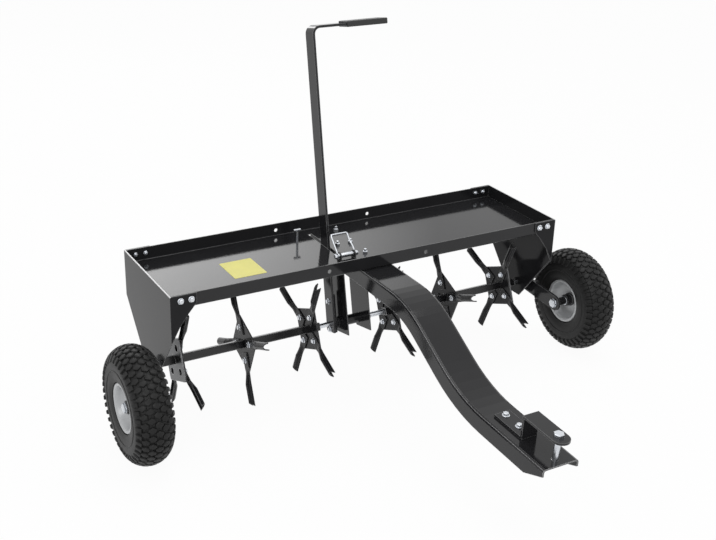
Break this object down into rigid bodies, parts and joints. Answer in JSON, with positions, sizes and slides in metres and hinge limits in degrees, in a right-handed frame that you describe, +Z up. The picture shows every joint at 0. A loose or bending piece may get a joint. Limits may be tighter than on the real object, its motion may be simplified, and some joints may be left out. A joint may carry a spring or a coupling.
{
  "type": "tow-behind plug aerator",
  "caption": "Tow-behind lawn aerator: spoon stars on a square axle under a weight tray, lift wheels and handle, curved drawbar with pin hitch.",
  "frame": {"origin": "on the ground, in the middle of the bounding box; the star axle is 0.334 m behind it and 0.141 m up", "axes": "+X to the right along the star axle, -Y forward to the hitch, +Z up"},
  "size_m": [1.27, 0.9683, 0.8468],
  "materials": {
    "black_coat": "black powder coat, satin, slightly orange-peeled",
    "zinc": "bright zinc plating",
    "tyre_rubber": "black rubber, dull",
    "rim_grey": "grey paint, satin",
    "grip_vinyl": "soft black vinyl"
  },
  "bodies": {
    "frame": {"tray": "black_coat", "end_plate_left": "black_coat", "end_plate_right": "black_coat", "drawbar": "black_coat", "hitch_bracket": "black_coat", "hanger_left": "black_coat", "hanger_right": "black_coat", "pivot_sleeve": "black_coat", "bearing_left": "black_coat", "bearing_right": "black_coat", "latch_base": "black_coat", "latch_pin": "zinc"},
    "lift": {"lift_shaft": "zinc", "handle_bar": "black_coat", "handle_grip": "grip_vinyl", "handle_bracket": "black_coat", "wheel_arm_left": "black_coat", "wheel_arm_right": "black_coat", "wheel_axle_left": "zinc", "wheel_axle_right": "zinc"},
    "wheel_left": {"rim_left": "rim_grey", "tyre_left": "tyre_rubber"},
    "wheel_right": {"rim_right": "rim_grey", "tyre_right": "tyre_rubber"},
    "spool_left": {"spool_tube_left": "zinc", "star_plate_1": "black_coat", "star_plate_2": "black_coat", "star_plate_3": "black_coat", "spoon_1a": "black_coat", "spoon_1b": "black_coat", "spoon_1c": "black_coat", "spoon_1d": "black_coat", "spoon_2a": "black_coat", "spoon_2b": "black_coat", "spoon_2c": "black_coat", "spoon_2d": "black_coat", "spoon_3a": "black_coat", "spoon_3b": "black_coat", "spoon_3c": "black_coat", "spoon_3d": "black_coat"},
    "spool_right": {"spool_tube_right": "zinc", "star_plate_4": "black_coat", "star_plate_5": "black_coat", "star_plate_6": "black_coat", "spoon_4a": "black_coat", "spoon_4b": "black_coat", "spoon_4c": "black_coat", "spoon_4d": "black_coat", "spoon_5a": "black_coat", "spoon_5b": "black_coat", "spoon_5c": "black_coat", "spoon_5d": "black_coat", "spoon_6a": "black_coat", "spoon_6b": "black_coat", "spoon_6c": "black_coat", "spoon_6d": "black_coat"},
    "bail": {"latch_bail": "zinc"},
    "hitch_pin": {"hitch_pin": "zinc"},
    "lock_pin": {"lock_pin": "zinc"}
  },
  "joints": [
    {"name": "lift_turn", "type": "hinge", "parent": "frame", "child": "lift", "pos_m": [0, 0.33434, 0.1412], "axis": [1, 0, 0], "range_deg": [-16, 9.8]},
    {"name": "wheel_left_spin", "type": "hinge", "parent": "lift", "child": "wheel_left", "pos_m": [-0.59, 0.19734, 0.132], "axis": [1, 0, 0], "continuous": true},
    {"name": "wheel_right_spin", "type": "hinge", "parent": "lift", "child": "wheel_right", "pos_m": [0.59, 0.19734, 0.132], "axis": [1, 0, 0], "continuous": true},
    {"name": "spool_left_spin", "type": "hinge", "parent": "frame", "child": "spool_left", "pos_m": [-0.3, 0.33434, 0.1412], "axis": [1, 0, 0], "continuous": true},
    {"name": "spool_right_spin", "type": "hinge", "parent": "frame", "child": "spool_right", "pos_m": [0.3, 0.33434, 0.1412], "axis": [1, 0, 0], "continuous": true},
    {"name": "bail_turn", "type": "hinge", "parent": "frame", "child": "bail", "pos_m": [-0.0445, 0.27634, 0.3452], "axis": [1, 0, 0], "range_deg": [0, 100]},
    {"name": "hitch_pin_lift", "type": "slide", "parent": "frame", "child": "hitch_pin", "axis": [0, -0.0436, 0.999], "range_m": [0, 0.062]},
    {"name": "lock_pin_lift", "type": "slide", "parent": "frame", "child": "lock_pin", "axis": [0, 0, 1], "range_m": [0, 0.045]}
  ]
}
